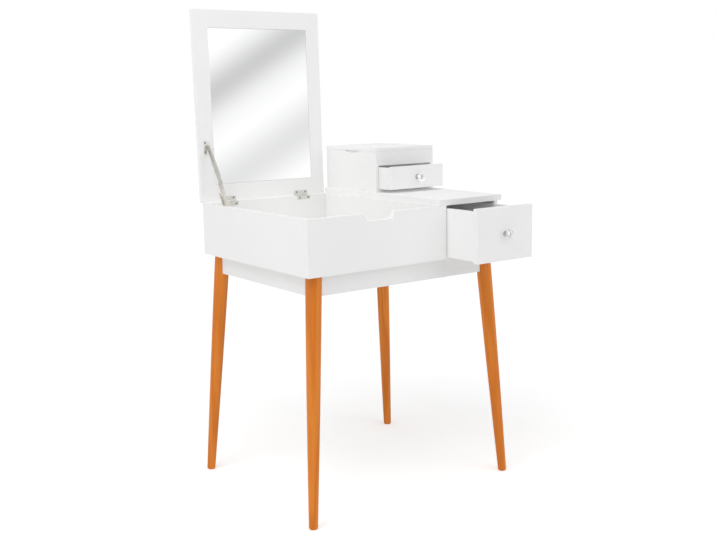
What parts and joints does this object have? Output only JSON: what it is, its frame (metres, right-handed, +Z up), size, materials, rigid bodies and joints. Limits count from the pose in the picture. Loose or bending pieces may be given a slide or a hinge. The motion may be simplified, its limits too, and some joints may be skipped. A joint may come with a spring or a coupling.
{
  "type": "flip top vanity table",
  "caption": "Dressing table with splayed wooden legs, a mirror lid on a folding stay over a shallow compartment, a side drawer and a small lidded drawer box on top.",
  "frame": {"origin": "on the floor, under the middle of the case, which is also the middle between the four feet", "axes": "+X to the right of a person who sits in front, +Y to the back, +Z up"},
  "size_m": [0.6344, 0.6605, 1.2302],
  "materials": {
    "white_paint": "satin white paint on fibreboard",
    "stained_wood": "orange brown stain under satin lacquer",
    "bare_wood": "planed pine, not painted",
    "nickel_steel": "satin nickel plate",
    "zinc_steel": "bright zinc plate",
    "chrome": "polished chrome plate",
    "crystal": "clear faceted crystal",
    "mirror_glass": "silvered float glass"
  },
  "bodies": {
    "table": {"left_side": "white_paint", "right_side": "white_paint", "back_panel": "white_paint", "front_panel": "white_paint", "partition": "white_paint", "compartment_floor": "white_paint", "bay_floor": "white_paint", "top_board": "white_paint", "drawer_guide": "bare_wood", "apron_front": "white_paint", "apron_back": "white_paint", "apron_left": "white_paint", "apron_right": "white_paint", "corner_blocks": "bare_wood", "leg_front_left": "stained_wood", "leg_front_right": "stained_wood", "leg_back_left": "stained_wood", "leg_back_right": "stained_wood", "leg_bolts": "zinc_steel", "leg_nuts": "zinc_steel", "hinge_case_leaves": "nickel_steel", "hinge_pins": "nickel_steel", "case_screws": "nickel_steel", "stay_case_bracket": "nickel_steel", "stay_case_rivet": "nickel_steel", "box_left_side": "white_paint", "box_right_side": "white_paint", "box_back": "white_paint", "box_floor": "white_paint", "box_shelf": "white_paint", "box_upper_front": "white_paint", "box_hinge_leaves": "nickel_steel"},
    "lid": {"lid_board": "white_paint", "mirror": "mirror_glass", "hinge_lid_leaves": "nickel_steel", "lid_screws": "nickel_steel", "stay_lid_bracket": "nickel_steel", "stay_lid_rivet": "nickel_steel"},
    "stay_upper": {"stay_upper_link": "nickel_steel", "stay_elbow_rivet": "nickel_steel"},
    "stay_lower": {"stay_lower_link": "nickel_steel"},
    "drawer": {"drawer_front": "white_paint", "drawer_left_side": "white_paint", "drawer_right_side": "white_paint", "drawer_back": "white_paint", "drawer_bottom": "white_paint", "drawer_knob": "crystal", "drawer_knob_base": "chrome", "drawer_knob_screw": "zinc_steel"},
    "small_drawer": {"small_drawer_front": "white_paint", "small_drawer_left_side": "white_paint", "small_drawer_right_side": "white_paint", "small_drawer_back": "white_paint", "small_drawer_bottom": "white_paint", "small_drawer_knob": "crystal", "small_drawer_knob_base": "chrome", "small_drawer_knob_screw": "zinc_steel"},
    "box_lid": {"box_lid": "white_paint", "box_hinge_lid_leaves": "nickel_steel", "box_lid_screws": "nickel_steel"}
  },
  "joints": [
    {"name": "lid_hinge", "type": "hinge", "parent": "table", "child": "lid", "pos_m": [-0.1065, 0.25, 0.7324], "axis": [1, 0, 0], "range_deg": [0, 91.5]},
    {"name": "stay_upper_pivot", "type": "hinge", "parent": "lid", "child": "stay_upper", "pos_m": [-0.2777, 0.24577, 0.87656], "axis": [1, 0, 0], "range_deg": [-114.9, 0]},
    {"name": "stay_lower_pivot", "type": "hinge", "parent": "table", "child": "stay_lower", "pos_m": [-0.2797, 0.124, 0.69], "axis": [1, 0, 0], "range_deg": [0, 136.8]},
    {"name": "drawer_slide", "type": "slide", "parent": "table", "child": "drawer", "axis": [0, -1, 0], "range_m": [-0.11, 0.19]},
    {"name": "small_drawer_slide", "type": "slide", "parent": "table", "child": "small_drawer", "axis": [0, -1, 0], "range_m": [-0.054, 0.09]},
    {"name": "box_lid_hinge", "type": "hinge", "parent": "table", "child": "box_lid", "pos_m": [0.297, 0.1345, 0.856], "axis": [0, 1, 0], "range_deg": [0, 95]}
  ],
  "couplings": [
    {"joint": "stay_upper_pivot", "follows": "lid_hinge", "ratio": -1.2545},
    {"joint": "stay_lower_pivot", "follows": "lid_hinge", "ratio": 1.4939}
  ]
}
